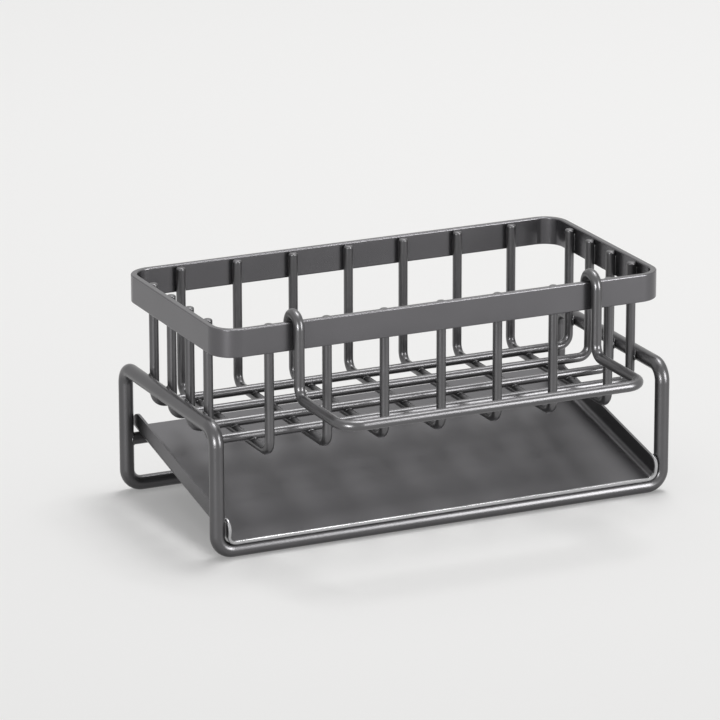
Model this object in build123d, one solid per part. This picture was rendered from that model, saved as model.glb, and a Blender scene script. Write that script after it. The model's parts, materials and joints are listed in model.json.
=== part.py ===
from build123d import *
import math
import os

# All lengths are in millimetres. +X runs along the caddy, -Y is its front, +Z is up.
# The origin lies on the counter, under the middle of the stand.

# Stand: one rod bent into a closed loop that makes both U-shaped ends of legs and both side rails
rod_diameter = 7.0
rod_bend = 7.5            # centre-line radius of every bend in the rod
leg_span = 231.0          # between the centres of the left and right legs
leg_inset = 2.5           # from the outer face of the basket rim to the centre of a leg
side_rail_height = 62.0   # counter to the centre of a side rail

# Crossbar between the rear legs, which carries the high end of the drip tray
crossbar_diameter = 6.0
crossbar_height = 26.0    # counter to its centre

# Basket: a flat-bar rim with wires bent into a U welded inside it
rim_width = 113.0
rim_height = 13.5
rim_thickness = 3.0
rim_corner = 12.0         # outer corner radius
rim_edge = 0.6            # rounding of the long edges of the bar
wire_diameter = 4.5
wire_bend = 5.5           # centre-line radius where a wire turns up
weld_sink = 1.2           # welded wires are pressed this far into each other where they cross
wire_tip_round = 1.0
wire_tip_drop = 0.8       # the wire tips end this far below the top of the rim
basket_depth = 59.6       # top of the rim to the centre of the long floor wires
basket_drop = 12.1        # centre of the side rails to the centre of the long floor wires
long_wire_count = 4
short_wire_count = 7
short_end_gap = 24.4      # from the inner face of the rim's end to the first short wire

# Drip tray: a sheet bent into a shallow channel, open at both ends and laid on a slope
sheet_thickness = 1.2
tray_side_gap = 0.6       # between the tray and the legs, each side
tray_wall = 10.6          # outer height of the side walls
tray_bend = 4.2           # outer radius under the side walls, and of their upper front corners
tray_front_reach = 1.8    # floor past the line where it lies on the front bar
tray_rear_reach = 4.0     # floor past the line where it lies on the crossbar
tray_rear_corner = 7.0    # rounded upper corner at the rear of the side walls
hem_diameter = 1.8        # rolled bead along the front edge
hem_tail = 0.6            # straight end of the bead past the walls' rounded corners

# Cloth rail: one wire that hooks over the front of the rim
rail_diameter = 5.0
rail_knee = 6.0           # centre-line radius where a hanging leg turns into its arm
rail_corner = 9.0         # centre-line radius where an arm turns into the front run
rail_place_share = 0.38   # of a wire pitch, inwards from the outermost short wire
rail_drop = 35.4          # top of the rim to the centre of the arms
rail_reach = 48.9         # from the hanging legs to the front run
hook_face_gap = 1.3       # between the outer face of the rim and a hanging leg
hook_back_gap = 2.2       # between the inner face of the rim and a hook's tip
hook_tail = 8.0           # straight length of wire past the hook's bend

running_gap = 0.3         # between pieces that come apart

# Sizes that follow
rod_radius = rod_diameter / 2
crossbar_radius = crossbar_diameter / 2
wire_radius = wire_diameter / 2
leg_x = leg_span / 2
leg_y = rim_width / 2 - leg_inset
basket_inner_length = leg_span - rod_diameter
basket_inner_width = rim_width - 2 * rim_thickness
rim_length = basket_inner_length + 2 * rim_thickness
long_floor_z = side_rail_height - basket_drop
short_floor_z = long_floor_z - wire_diameter + weld_sink
rim_top = long_floor_z + basket_depth
wire_tip_z = rim_top - wire_tip_drop
long_wire_x = basket_inner_length / 2 - wire_radius
short_wire_y = basket_inner_width / 2 - wire_radius
long_wire_pitch = basket_inner_width / (long_wire_count + 1)
short_wire_pitch = (basket_inner_length - 2 * short_end_gap) / (short_wire_count - 1)


def spread(count, pitch):
    """Places of count things, pitch apart and centred on zero."""
    return [(number - (count - 1) / 2) * pitch for number in range(count)]


def bent_rod(path, diameter):
    """Round bar or wire that follows the path."""
    start = Plane(origin=path @ 0, z_dir=path % 0)
    return sweep(start * Circle(diameter / 2), path=path)


def make_stand_frame():
    """The left half of the loop, from the middle of the front bar to the middle of the rear bar."""
    path = FilletPolyline(
        (0, -leg_y, rod_radius),
        (-leg_x, -leg_y, rod_radius),
        (-leg_x, -leg_y, side_rail_height),
        (-leg_x, leg_y, side_rail_height),
        (-leg_x, leg_y, rod_radius),
        (0, leg_y, rod_radius),
        radius=rod_bend,
    )
    left_half = bent_rod(path, rod_diameter)
    return left_half + mirror(left_half, about=Plane.YZ)


def make_crossbar(stand_frame):
    """Bar whose ends are shaped to the round of the rear legs."""
    bar = Cylinder(crossbar_radius, leg_span, rotation=(0, 90, 0))
    return Pos(0, leg_y, crossbar_height) * bar - stand_frame


def make_rim():
    """Flat bar bent into a rounded rectangle."""
    outline = RectangleRounded(rim_length, rim_width, rim_corner)
    opening = RectangleRounded(basket_inner_length, basket_inner_width, rim_corner - rim_thickness)
    bar = extrude(Pos(0, 0, rim_top - rim_height) * (outline - opening), rim_height)
    long_edges = bar.edges().filter_by(Axis.Z, reverse=True)
    return fillet(long_edges, rim_edge)


def make_basket_wire(half_length, floor_z):
    """Wire along X with both ends turned up, and the rims of its tips rounded."""
    path = FilletPolyline(
        (-half_length, 0, wire_tip_z),
        (-half_length, 0, floor_z),
        (half_length, 0, floor_z),
        (half_length, 0, wire_tip_z),
        radius=wire_bend,
    )
    wire = bent_rod(path, wire_diameter)
    return fillet(wire.edges().group_by(Axis.Z)[-1], wire_tip_round)


def tray_slope():
    """Plane on top of the front bar and the crossbar, and the length between its contact lines."""
    run = 2 * leg_y
    rise = crossbar_height - rod_radius
    between = math.hypot(run, rise)
    radius_turn = math.asin((crossbar_radius - rod_radius) / between)
    angle = math.atan2(rise, run) + radius_turn
    upward = Vector(0, -math.sin(angle), math.cos(angle))
    origin = Vector(0, -leg_y, rod_radius) + upward * rod_radius
    slope = Plane(origin=origin, x_dir=(1, 0, 0), z_dir=upward)
    return slope, between * math.cos(radius_turn)


def make_drip_tray():
    """Channel built flat, with its front contact line at the origin, then laid on the slope."""
    slope, contact_run = tray_slope()
    width = leg_span - rod_diameter - 2 * tray_side_gap
    length = tray_front_reach + contact_run + tray_rear_reach
    middle = (contact_run + tray_rear_reach - tray_front_reach) / 2
    outer = Pos(0, middle, tray_wall / 2) * Box(width, length, tray_wall)
    outer = fillet(outer.edges().filter_by(Axis.Y).group_by(Axis.Z)[0], tray_bend)
    rear_top = outer.edges().filter_by(Axis.X).group_by(Axis.Y)[-1].sort_by(Axis.Z)[-1]
    outer = fillet(rear_top, tray_rear_corner)
    front_top = outer.edges().filter_by(Axis.X).group_by(Axis.Y)[0].sort_by(Axis.Z)[-1]
    outer = fillet(front_top, tray_bend)
    hollow_z = sheet_thickness + tray_wall / 2
    hollow = Pos(0, middle, hollow_z) * Box(width - 2 * sheet_thickness, 2 * length, tray_wall)
    hollow_edges = hollow.edges().filter_by(Axis.Y).group_by(Axis.Z)[0]
    channel = outer - fillet(hollow_edges, tray_bend - sheet_thickness)
    tray = channel + make_hem(width)
    return slope.location * Pos(0, 0, running_gap) * tray


def make_hem(width):
    """Bead centred on the front edge of the channel, which ends past the corners of both side walls."""
    half_sheet = sheet_thickness / 2
    side_x = width / 2 - half_sheet
    end_y = tray_bend - tray_front_reach + hem_tail
    lower_bend = tray_bend - half_sheet
    path = FilletPolyline(
        (-side_x, end_y, tray_wall),
        (-side_x, -tray_front_reach, tray_wall),
        (-side_x, -tray_front_reach, half_sheet),
        (side_x, -tray_front_reach, half_sheet),
        (side_x, -tray_front_reach, tray_wall),
        (side_x, end_y, tray_wall),
        radius=[tray_bend, lower_bend, lower_bend, tray_bend],
    )
    bead = bent_rod(path, hem_diameter)
    for end_x in (-side_x, side_x):
        bead += Pos(end_x, end_y, tray_wall) * Sphere(hem_diameter / 2)
    return bead


def hook_rise(inner_radius):
    """Top of the rim above the centre of a hook's bend, which clears the rim's rounded edge."""
    edge_y = inner_radius - min(hook_face_gap, hook_back_gap) - rim_edge
    reach = inner_radius - running_gap - rim_edge
    return math.sqrt(reach**2 - edge_y**2) + rim_edge


def make_cloth_rail():
    """Both hooks, both arms and the front run are one piece of wire."""
    inner_radius = (hook_face_gap + rim_thickness + hook_back_gap) / 2
    hook_radius = inner_radius + rail_diameter / 2
    end_x = short_wire_pitch * (short_wire_count - 1) / 2
    hook_x = end_x - rail_place_share * short_wire_pitch
    leg_face_y = -(rim_width / 2 + hook_face_gap + rail_diameter / 2)
    bend_y = leg_face_y + hook_radius
    tip_y = bend_y + hook_radius
    bend_z = rim_top - hook_rise(inner_radius)
    arm_z = rim_top - rail_drop
    front_y = leg_face_y - rail_reach
    hooks = []
    for x in (-hook_x, hook_x):
        hooks += Line((x, tip_y, bend_z - hook_tail), (x, tip_y, bend_z)).edges()
        crown = (x, bend_y, bend_z + hook_radius)
        hooks += ThreePointArc((x, tip_y, bend_z), crown, (x, leg_face_y, bend_z)).edges()
    run = FilletPolyline(
        (-hook_x, leg_face_y, bend_z),
        (-hook_x, leg_face_y, arm_z),
        (-hook_x, front_y, arm_z),
        (hook_x, front_y, arm_z),
        (hook_x, leg_face_y, arm_z),
        (hook_x, leg_face_y, bend_z),
        radius=[rail_knee, rail_corner, rail_corner, rail_knee],
    )
    return bent_rod(Wire(hooks + list(run.edges())), rail_diameter)


stand_frame = make_stand_frame()
pieces = {
    "stand_frame": stand_frame,
    "tray_crossbar": make_crossbar(stand_frame),
    "basket_rim": make_rim(),
    "drip_tray": make_drip_tray(),
    "cloth_rail": make_cloth_rail(),
}
long_wire = make_basket_wire(long_wire_x, long_floor_z)
long_wires = [Pos(0, y, 0) * long_wire for y in spread(long_wire_count, long_wire_pitch)]
for number, wire in enumerate(long_wires, 1):
    pieces[f"long_wire_{number}"] = wire
short_wire = Rot(0, 0, 90) * make_basket_wire(short_wire_y, short_floor_z)
for number, x in enumerate(spread(short_wire_count, short_wire_pitch), 1):
    pieces[f"short_wire_{number}"] = Pos(x, 0, 0) * short_wire - long_wires

os.makedirs("parts", exist_ok=True)
for name, piece in pieces.items():
    piece.label = name
    export_step(piece, f"parts/{name}.step")
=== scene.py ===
import bmesh
import bpy
import json
import math
from mathutils import Matrix, Vector


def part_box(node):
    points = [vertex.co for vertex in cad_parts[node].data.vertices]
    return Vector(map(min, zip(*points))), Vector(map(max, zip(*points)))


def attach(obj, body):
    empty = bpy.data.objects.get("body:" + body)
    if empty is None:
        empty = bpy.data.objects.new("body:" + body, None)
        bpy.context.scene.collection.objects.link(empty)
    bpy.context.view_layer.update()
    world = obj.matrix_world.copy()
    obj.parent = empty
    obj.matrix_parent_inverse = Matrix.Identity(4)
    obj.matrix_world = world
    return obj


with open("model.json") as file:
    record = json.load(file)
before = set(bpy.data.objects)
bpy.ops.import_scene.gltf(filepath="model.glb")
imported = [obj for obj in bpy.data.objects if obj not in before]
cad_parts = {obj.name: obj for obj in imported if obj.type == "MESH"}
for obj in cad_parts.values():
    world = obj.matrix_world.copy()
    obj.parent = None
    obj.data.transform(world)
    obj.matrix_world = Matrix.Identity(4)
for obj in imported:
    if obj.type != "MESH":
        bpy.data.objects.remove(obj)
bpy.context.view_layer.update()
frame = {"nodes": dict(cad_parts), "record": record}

scene = bpy.context.scene
print("frame loaded:", len(frame["nodes"]), "nodes")

scene.view_settings.view_transform = "Standard"
mm = 0.001

# Camera: a long lens, in front of the caddy's left end and above it
cameraSetup = {
    "place": (-0.993548, -2.094369, 0.782510),
    "yaw": 0.436,    # radians to the right of straight ahead
    "pitch": 0.300,  # radians below the horizon
    "roll": -0.002,
    "lens": 255.53,  # mm, on the sensor below
    "sensor": 36.0,
    "reach": 50.0,   # metres
}


def makeCamera(setup):
    data = bpy.data.cameras.new("studioCamera")
    data.sensor_fit = "HORIZONTAL"
    data.sensor_width = setup["sensor"]
    data.lens = setup["lens"]
    data.clip_end = setup["reach"]
    yaw, pitch, roll = setup["yaw"], setup["pitch"], setup["roll"]
    forward = Vector((
        math.sin(yaw) * math.cos(pitch),
        math.cos(yaw) * math.cos(pitch),
        -math.sin(pitch),
    ))
    level = Vector((math.cos(yaw), -math.sin(yaw), 0.0))
    raised = level.cross(forward)
    right = level * math.cos(roll) + raised * math.sin(roll)
    up = raised * math.cos(roll) - level * math.sin(roll)
    camera = bpy.data.objects.new("studioCamera", data)
    turn = Matrix((right, up, -forward)).transposed().to_4x4()
    camera.matrix_world = Matrix.Translation(setup["place"]) @ turn
    scene.collection.objects.link(camera)
    scene.camera = camera


makeCamera(cameraSetup)
print("camera placed")

# Light: a soft key and a broad fill overhead, and two soft boxes in front.
# A flagged lamp is kept off the floor and the tray.
lampSetup = {
    "key": {
        "place": (0.75, 0.42, 3.0),
        "aim": (0, 0, 0),
        "size": (1.3, 1.0),
        "power": 46.0,
        "flagged": False,
    },
    "overhead": {
        "place": (0.4, 0.6, 2.7),
        "aim": (0, 0, 0),
        "size": (3.2, 3.2),
        "power": 26.0,
        "flagged": False,
    },
    "frontLeft": {
        "place": (-1.08, -0.98, 0.27),
        "aim": (0, 0, 0.1),
        "size": (0.5, 0.5),
        "power": 15.0,
        "flagged": True,
    },
    "frontRight": {
        "place": (0.80, -1.20, 0.45),
        "aim": (0, 0, 0.2),
        "size": (0.45, 0.86),
        "power": 18.0,
        "flagged": True,
    },
}


def makeLamp(name, setup):
    data = bpy.data.lights.new(name, "AREA")
    data.shape = "RECTANGLE"
    data.size, data.size_y = setup["size"]
    data.energy = setup["power"]
    lamp = bpy.data.objects.new(name, data)
    lamp.visible_camera = False
    place = Vector(setup["place"])
    lamp.location = place
    lamp.rotation_euler = (Vector(setup["aim"]) - place).to_track_quat("-Z", "Y").to_euler()
    scene.collection.objects.link(lamp)
    return lamp


lamps = {name: makeLamp(name + "Lamp", setup) for name, setup in lampSetup.items()}
print("lamps placed:", len(lamps))


def newNode(tree, kind, **values):
    node = tree.nodes.new(kind)
    for key, value in values.items():
        setattr(node, key, value)
    return node


def feed(tree, socket, value):
    if isinstance(value, bpy.types.NodeSocket):
        tree.links.new(value, socket)
    else:
        socket.default_value = value


def mathNode(tree, operation, *values):
    node = newNode(tree, "ShaderNodeMath", operation=operation)
    for socket, value in zip(node.inputs, values):
        feed(tree, socket, value)
    return node.outputs[0]


def vectorNode(tree, operation, result, vector, by):
    node = newNode(tree, "ShaderNodeVectorMath", operation=operation)
    feed(tree, node.inputs[0], vector)
    feed(tree, node.inputs[1], by)
    return node.outputs[result]


def noiseNode(tree, place, scale, detail):
    node = newNode(tree, "ShaderNodeTexNoise")
    feed(tree, node.inputs["Vector"], place)
    feed(tree, node.inputs["Scale"], scale)
    feed(tree, node.inputs["Detail"], detail)
    return node.outputs["Fac"]


def rangeNode(tree, value, low, high, limits=(0.0, 1.0), kind="LINEAR"):
    node = newNode(tree, "ShaderNodeMapRange", interpolation_type=kind)
    feed(tree, node.inputs["Value"], value)
    node.inputs["From Min"].default_value, node.inputs["From Max"].default_value = limits
    node.inputs["To Min"].default_value, node.inputs["To Max"].default_value = low, high
    return node.outputs["Result"]


def mixNode(tree, kind, share, first, second):
    node = newNode(tree, "ShaderNodeMix", data_type=kind)
    feed(tree, node.inputs["Factor"], share)
    feed(tree, node.inputs["A"], first)
    feed(tree, node.inputs["B"], second)
    return node.outputs["Result"]


def mixShaders(tree, share, first, second):
    node = newNode(tree, "ShaderNodeMixShader")
    feed(tree, node.inputs["Fac"], share)
    tree.links.new(first.outputs[0], node.inputs[1])
    tree.links.new(second.outputs[0], node.inputs[2])
    return node.outputs[0]


# Backdrop: a pale floor and world. Their seen colour shows to the camera and in reflections.
backdrop = {
    "seen": (0.862, 0.859, 0.853, 1.0),
    "litBy": (0.25, 0.25, 0.25, 1.0),       # what the world adds to the light
    "floorSize": 6.0,                       # metres
    "floorAlbedo": (0.92, 0.917, 0.91, 1.0),
    "floorRough": 0.9,
    "floorGlow": 0.28,                      # share of the seen colour in the floor
}


def seenDirectly(tree):
    path = newNode(tree, "ShaderNodeLightPath").outputs
    seen = mathNode(tree, "MAXIMUM", path["Is Camera Ray"], path["Is Glossy Ray"])
    return mathNode(tree, "MAXIMUM", seen, path["Is Transmission Ray"])


def makeWorld(values):
    world = bpy.data.worlds.new("studioWorld")
    world.use_nodes = True
    tree = world.node_tree
    tree.nodes.clear()
    out = newNode(tree, "ShaderNodeOutputWorld")
    seen = newNode(tree, "ShaderNodeBackground")
    seen.inputs["Color"].default_value = values["seen"]
    light = newNode(tree, "ShaderNodeBackground")
    light.inputs["Color"].default_value = values["litBy"]
    tree.links.new(mixShaders(tree, seenDirectly(tree), light, seen), out.inputs["Surface"])
    scene.world = world


def makeFloor(values):
    half = values["floorSize"] / 2
    mesh = bpy.data.meshes.new("floor")
    corners = [(-half, -half, 0), (half, -half, 0), (half, half, 0), (-half, half, 0)]
    mesh.from_pydata(corners, [], [(0, 1, 2, 3)])
    floor = bpy.data.objects.new("floor", mesh)
    scene.collection.objects.link(floor)
    material = bpy.data.materials.new("paleFloor")
    material.use_nodes = True
    tree = material.node_tree
    shader = tree.nodes["Principled BSDF"]
    shader.inputs["Base Color"].default_value = values["floorAlbedo"]
    shader.inputs["Roughness"].default_value = values["floorRough"]
    shader.inputs["Specular IOR Level"].default_value = 0.0
    glow = newNode(tree, "ShaderNodeEmission")
    glow.inputs["Color"].default_value = values["seen"]
    share = mathNode(tree, "MULTIPLY", seenDirectly(tree), values["floorGlow"])
    surface = tree.nodes["Material Output"].inputs["Surface"]
    tree.links.new(mixShaders(tree, share, shader, glow), surface)
    mesh.materials.append(material)
    return floor


def flagOff(lamp, pieces):
    flagged = bpy.data.collections.new(lamp.name + "Flag")
    for piece in pieces:
        flagged.objects.link(piece)
    for row in flagged.collection_objects:
        row.light_linking.link_state = "EXCLUDE"
    lamp.light_linking.receiver_collection = flagged


makeWorld(backdrop)
floor = makeFloor(backdrop)
for lampName, setup in lampSetup.items():
    if setup["flagged"]:
        flagOff(lamps[lampName], (floor, frame["nodes"]["drip_tray"]))
print("stage ready")

# Satin gunmetal coating, in one recipe for all the metal.
# Its colour drifts from dark to light, and a fine grain moves its roughness.
coatings = {
    "stand_rod": {
        "dark": (0.095, 0.094, 0.097),
        "light": (0.125, 0.123, 0.127),
        "rough": (0.27, 0.33),
        "bump": 0.10,
        "metal": 0.88,
    },
    "rim_bar": {
        "dark": (0.112, 0.110, 0.115),
        "light": (0.136, 0.133, 0.140),
        "rough": (0.24, 0.28),
        "bump": 0.04,
        "metal": 0.88,
    },
    "basket_wire": {
        "dark": (0.100, 0.099, 0.102),
        "light": (0.135, 0.133, 0.137),
        "rough": (0.26, 0.32),
        "bump": 0.10,
        "metal": 0.88,
    },
    "rail_wire": {
        "dark": (0.100, 0.099, 0.102),
        "light": (0.135, 0.133, 0.137),
        "rough": (0.26, 0.32),
        "bump": 0.10,
        "metal": 0.88,
    },
    "tray_sheet": {
        "dark": (0.112, 0.110, 0.115),
        "light": (0.134, 0.132, 0.137),
        "rough": (0.30, 0.36),
        "bump": 0.10,
        "metal": 0.95,
    },
}
grain = {
    "driftScale": 35.0,   # per metre
    "driftDetail": 3.0,
    "scale": 1800.0,      # per metre
    "detail": 2.0,
    "depth": 0.02 * mm,
}


def makeCoating(name, values):
    material = bpy.data.materials.new(name + "Coating")
    material.use_nodes = True
    tree = material.node_tree
    shader = tree.nodes["Principled BSDF"]
    shader.inputs["Metallic"].default_value = values["metal"]
    place = newNode(tree, "ShaderNodeTexCoord").outputs["Object"]
    drift = noiseNode(tree, place, grain["driftScale"], grain["driftDetail"])
    fine = noiseNode(tree, place, grain["scale"], grain["detail"])
    tint = mixNode(tree, "RGBA", drift, (*values["dark"], 1.0), (*values["light"], 1.0))
    tree.links.new(tint, shader.inputs["Base Color"])
    rough = rangeNode(tree, fine, *values["rough"])
    tree.links.new(rough, shader.inputs["Roughness"])
    bump = newNode(tree, "ShaderNodeBump")
    bump.inputs["Strength"].default_value = values["bump"]
    bump.inputs["Distance"].default_value = grain["depth"]
    tree.links.new(fine, bump.inputs["Height"])
    tree.links.new(bump.outputs["Normal"], shader.inputs["Normal"])
    return {"material": material, "place": place, "tint": tint, "rough": rough}


# The tray's front bead is bare bright steel, found by its place on the slope of the tray
bead = {
    "slope": 0.20086,                       # radians, falling towards the front
    "foot": (0, -54.758 * mm, 7.224 * mm),  # where the tray's floor lies over the front bar
    "bendY": 2.4 * mm,                      # up the slope to the centre of the wall's front corner
    "bendZ": 6.4 * mm,                      # and from there square to it
    "wearsFrom": (3.10 * mm, 3.35 * mm),    # from that centre, where the coating fades out
    "wearsTo": (3.5 * mm, 3.9 * mm),        # up the slope, where the bare metal ends
    "steel": (0.50, 0.50, 0.51, 1.0),
    "rough": 0.22,
    "metal": 1.0,
}


def baredMetal(coating, values):
    tree = coating["material"].node_tree
    shader = tree.nodes["Principled BSDF"]
    rise, run = math.sin(values["slope"]), math.cos(values["slope"])
    fromFoot = vectorNode(tree, "SUBTRACT", "Vector", coating["place"], values["foot"])
    upSlope = vectorNode(tree, "DOT_PRODUCT", "Value", fromFoot, (0, run, rise))
    offSlope = vectorNode(tree, "DOT_PRODUCT", "Value", fromFoot, (0, -rise, run))
    inFront = mathNode(tree, "SUBTRACT", upSlope, values["bendY"])
    inFront = mathNode(tree, "MINIMUM", inFront, 0.0)
    above = mathNode(tree, "SUBTRACT", offSlope, values["bendZ"])
    above = mathNode(tree, "MAXIMUM", above, 0.0)
    frontSquare = mathNode(tree, "MULTIPLY", inFront, inFront)
    aboveSquare = mathNode(tree, "MULTIPLY", above, above)
    distance = mathNode(tree, "SQRT", mathNode(tree, "ADD", frontSquare, aboveSquare))
    starts = rangeNode(tree, distance, 0.0, 1.0, values["wearsFrom"], "SMOOTHSTEP")
    ends = rangeNode(tree, upSlope, 1.0, 0.0, values["wearsTo"], "SMOOTHSTEP")
    bare = mathNode(tree, "MULTIPLY", starts, ends)
    colour = mixNode(tree, "RGBA", bare, coating["tint"], values["steel"])
    tree.links.new(colour, shader.inputs["Base Color"])
    rough = mixNode(tree, "FLOAT", bare, coating["rough"], values["rough"])
    tree.links.new(rough, shader.inputs["Roughness"])
    coatedMetal = shader.inputs["Metallic"].default_value
    metal = rangeNode(tree, bare, coatedMetal, values["metal"])
    tree.links.new(metal, shader.inputs["Metallic"])


slotOf = {row["node"]: row["material_slot"] for row in frame["record"]["subparts"]}
madeCoatings = {name: makeCoating(name, values) for name, values in coatings.items()}
baredMetal(madeCoatings["tray_sheet"], bead)
for nodeName, node in frame["nodes"].items():
    node.data.materials.clear()
    node.data.materials.append(madeCoatings[slotOf[nodeName]]["material"])
print("coatings applied:", len(madeCoatings))

# Weld metal, laid as thin tubes of uneven thickness in the corners where pieces meet
weldSides = 8


def layTube(mesh, points, guides, radii, closed):
    rings = []
    count = len(points)
    for index, (point, guide, radius) in enumerate(zip(points, guides, radii)):
        before = points[index - 1] if closed or index > 0 else point
        after = points[(index + 1) % count] if closed or index < count - 1 else point
        along = (after - before).normalized()
        side = (guide - along * guide.dot(along)).normalized()
        lift = along.cross(side)
        ring = []
        for corner in range(weldSides):
            turn = 2 * math.pi * corner / weldSides
            outward = side * math.cos(turn) + lift * math.sin(turn)
            ring.append(mesh.verts.new(point + outward * radius))
        rings.append(ring)
    for index in range(count if closed else count - 1):
        here, ahead = rings[index], rings[(index + 1) % count]
        for corner in range(weldSides):
            beside = (corner + 1) % weldSides
            mesh.faces.new((here[corner], ahead[corner], ahead[beside], here[beside]))
    if not closed:
        mesh.faces.new(rings[0])
        mesh.faces.new(reversed(rings[-1]))


def turnsOf(steps):
    return [2 * math.pi * step / steps for step in range(steps)]


def flashRadii(values, phase):
    radii = []
    for turn in turnsOf(values["steps"]):
        ripple = math.sin(values["ripples"] * turn + phase)
        radii.append(values["flash"] * (1 + values["uneven"] * ripple))
    return radii


def finishWeld(name, mesh, slotName):
    bmesh.ops.recalc_face_normals(mesh, faces=mesh.faces)
    for face in mesh.faces:
        face.smooth = True
    data = bpy.data.meshes.new(name)
    mesh.to_mesh(data)
    mesh.free()
    weld = bpy.data.objects.new(name, data)
    scene.collection.objects.link(weld)
    data.materials.append(madeCoatings[slotName]["material"])
    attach(weld, "root")
    print(name, "laid")


def middle(nodeName):
    low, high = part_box(nodeName)
    return (Vector(low) + Vector(high)) / 2


# Sizes of the rod and the wires, read from the frame
longWires = [name for name in frame["nodes"] if name.startswith("long_wire")]
shortWires = [name for name in frame["nodes"] if name.startswith("short_wire")]
longLow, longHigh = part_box(longWires[0])
shortLow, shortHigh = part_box(shortWires[0])
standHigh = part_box("stand_frame")[1]
wireRadius = (longHigh[1] - longLow[1]) / 2
rodRadius = (standHigh[0] - longHigh[0]) / 2
longFloor = longLow[2] + wireRadius
shortFloor = shortLow[2] + wireRadius
longEnd = longHigh[0] - wireRadius    # from the middle to the centre of an upturned end
shortEnd = shortHigh[1] - wireRadius

# Where two rods cross, the squeezed-out metal follows the saddle-shaped line between them
crossWeld = {
    "flash": 0.42 * mm,   # radius of the squeezed-out metal
    "uneven": 0.18,       # share by which it swells and thins
    "ripples": 3,
    "longShift": 2.1,     # turns the ripples from one long wire to the next, radians
    "shortShift": 1.3,    # and from one short wire to the next
    "steps": 32,
}


def saddleLine(upperRadius, lowerRadius, spacing, steps):
    halfBite = (upperRadius + lowerRadius - spacing) / 2
    level = (lowerRadius - spacing - upperRadius) / 2
    line = []
    for turn in turnsOf(steps):
        z = level - halfBite * math.cos(2 * turn)
        x = math.sqrt(max(lowerRadius**2 - (z + spacing) ** 2, 0))
        y = math.sqrt(max(upperRadius**2 - z**2, 0))
        line.append(Vector((math.copysign(x, math.cos(turn)), math.copysign(y, math.sin(turn)), z)))
    return line


def laySaddle(mesh, place, upperRadius, lowerRadius, spacing, values, phase):
    line = saddleLine(upperRadius, lowerRadius, spacing, values["steps"])
    centre = sum(line, Vector()) / len(line)
    turned = place.to_3x3()
    points = [place @ point for point in line]
    guides = [turned @ (point - centre) for point in line]
    layTube(mesh, points, guides, flashRadii(values, phase), True)


crossMesh = bmesh.new()
crossSpacing = longFloor - shortFloor
for longNumber, longName in enumerate(longWires):
    for shortNumber, shortName in enumerate(shortWires):
        place = Matrix.Translation((middle(shortName).x, middle(longName).y, longFloor))
        phase = crossWeld["longShift"] * longNumber + crossWeld["shortShift"] * shortNumber
        laySaddle(crossMesh, place, wireRadius, wireRadius, crossSpacing, crossWeld, phase)
finishWeld("crossWelds", crossMesh, "basket_wire")

# The basket hangs on the side rails by a weld at each long wire
railWeld = {
    "flash": 0.60 * mm,
    "uneven": 0.20,
    "ripples": 3,
    "steps": 28,
    "bite": 0.7 * mm,     # taken as how far the wire and the rail are pressed together
}
railMesh = bmesh.new()
railHeight = standHigh[2] - rodRadius
railSpacing = wireRadius + rodRadius - railWeld["bite"]
for longNumber, longName in enumerate(longWires):
    for side in (-1, 1):
        # the wire stands along Z, the rail runs along Y, and the saddle's underside faces outwards
        turn = Matrix(((0, 0, -side), (0, side, 0), (1, 0, 0))).to_4x4()
        place = Matrix.Translation((side * longEnd, middle(longName).y, railHeight)) @ turn
        phase = longNumber + side
        laySaddle(railMesh, place, wireRadius, rodRadius, railSpacing, railWeld, phase)
finishWeld("railWelds", railMesh, "stand_rod")

# Each wire end is welded to the inside of the rim along both of its sides
rimWeld = {
    "radius": 0.34 * mm,
    "bite": 0.14 * mm,        # how deep the weld sinks into the wire and the rim
    "uneven": 0.10,
    "ripplePitch": 1.3 * mm,
    "fromTip": 2.2 * mm,      # below the wire's tip
    "fromEdge": 0.9 * mm,     # above the rim's lower edge
    "taper": 6,               # a higher power keeps it thick nearer to its ends
    "thinEnd": 0.2,           # share of the radius at its ends
    "steps": 22,
}


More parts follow.
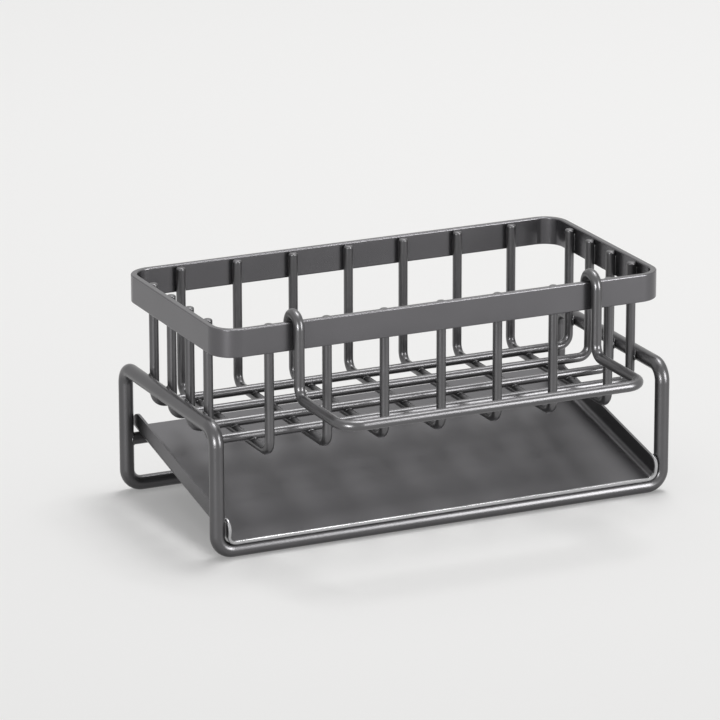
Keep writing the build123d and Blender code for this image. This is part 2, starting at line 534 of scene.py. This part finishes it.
def layRimWeld(mesh, wirePlace, towardsRim, values):
    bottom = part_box("basket_rim")[0][2] + values["fromEdge"]
    top = longHigh[2] - values["fromTip"]
    outward = Vector(towardsRim)
    across = Vector((-outward.y, outward.x, 0))
    inset = wireRadius - values["radius"] + values["bite"]
    offset = math.sqrt((wireRadius + values["radius"] - values["bite"]) ** 2 - inset**2)
    for side in (-1, 1):
        foot = Vector((*wirePlace, bottom)) + outward * inset + across * offset * side
        points, radii = [], []
        for step in range(values["steps"] + 1):
            share = step / values["steps"]
            height = (top - bottom) * share
            points.append(foot + Vector((0, 0, height)))
            full = math.sqrt(1 - (2 * share - 1) ** values["taper"])
            ripple = math.sin(2 * math.pi * height / values["ripplePitch"])
            swell = 1 + values["uneven"] * ripple
            radii.append(values["radius"] * max(full, values["thinEnd"]) * swell)
        layTube(mesh, points, [across * side] * len(points), radii, False)


rimMesh = bmesh.new()
for longName in longWires:
    for side in (-1, 1):
        layRimWeld(rimMesh, (side * longEnd, middle(longName).y), (side, 0, 0), rimWeld)
for shortName in shortWires:
    for side in (-1, 1):
        layRimWeld(rimMesh, (middle(shortName).x, side * shortEnd), (0, side, 0), rimWeld)
finishWeld("rimWelds", rimMesh, "basket_wire")

# The crossbar's ends are welded round the rear legs
barWeld = {
    "flash": 0.40 * mm,
    "uneven": 0.15,
    "ripples": 3,
    "steps": 36,
}


def layBarWeld(mesh, side, values):
    barLow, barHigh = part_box("tray_crossbar")
    barRadius = (barHigh[2] - barLow[2]) / 2
    centre = middle("tray_crossbar")
    legX = standHigh[0] - rodRadius
    points, guides = [], []
    for turn in turnsOf(values["steps"]):
        y, z = barRadius * math.cos(turn), barRadius * math.sin(turn)
        x = legX - math.sqrt(rodRadius**2 - y**2)
        points.append(Vector((side * x, centre.y + y, centre.z + z)))
        guides.append(Vector((0, y, z)))
    layTube(mesh, points, guides, flashRadii(values, side), True)


barMesh = bmesh.new()
for side in (-1, 1):
    layBarWeld(barMesh, side, barWeld)
finishWeld("barWelds", barMesh, "stand_rod")
